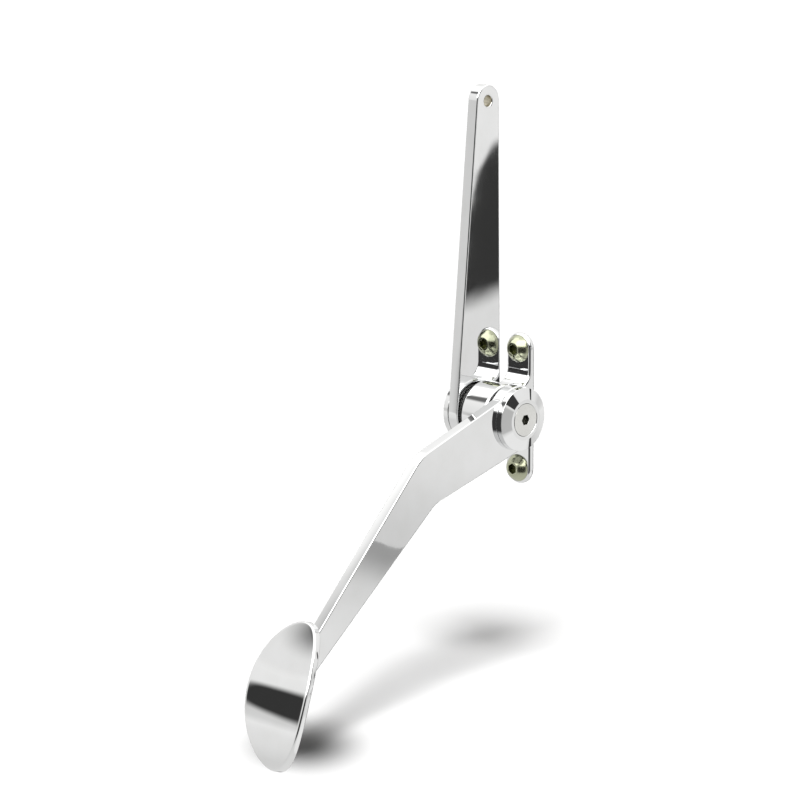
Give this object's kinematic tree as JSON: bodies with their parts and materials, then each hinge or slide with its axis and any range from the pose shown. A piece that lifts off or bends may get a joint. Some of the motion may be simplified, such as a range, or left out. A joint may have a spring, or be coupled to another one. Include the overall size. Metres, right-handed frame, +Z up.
{
  "type": "accelerator pedal assembly",
  "caption": "Firewall-mounted accelerator pedal: a bent spoon pad on a cranked arm and an upright cable lever turn together on one pivot bracket.",
  "frame": {"origin": "centre of the bracket's flat back face, where it meets the firewall, level with the pivot", "axes": "+X along the pivot towards the pedal arm, +Y out of the bracket's back face and into the firewall, +Z up along the cable lever"},
  "size_m": [0.0548, 0.1919, 0.3107],
  "materials": {
    "chrome_plate": "mirror-polished chrome plate",
    "socket_screw": "bright stainless steel",
    "zinc_screw": "bright zinc with a yellow-green passivate",
    "shaft_steel": "ground steel",
    "bearing_bronze": "sintered bronze",
    "washer_nylon": "black nylon"
  },
  "bodies": {
    "mount": {"mount_bracket": "chrome_plate", "bushing_left": "bearing_bronze", "bushing_right": "bearing_bronze", "thrust_washer_left": "washer_nylon", "thrust_washer_right": "washer_nylon", "mount_screw_upper": "zinc_screw", "mount_screw_lower": "zinc_screw"},
    "pedal": {"pivot_shaft": "shaft_steel", "cable_lever": "chrome_plate", "pedal_arm": "chrome_plate", "spoon_pad": "chrome_plate", "hub_cap_left": "chrome_plate", "hub_cap_right": "chrome_plate", "hub_screw_left": "socket_screw", "hub_screw_right": "socket_screw"}
  },
  "joints": [
    {"name": "pedal_pivot", "type": "hinge", "parent": "mount", "child": "pedal", "pos_m": [0, -0.0216, 0], "axis": [1, 0, 0], "range_deg": [0, 18]}
  ]
}
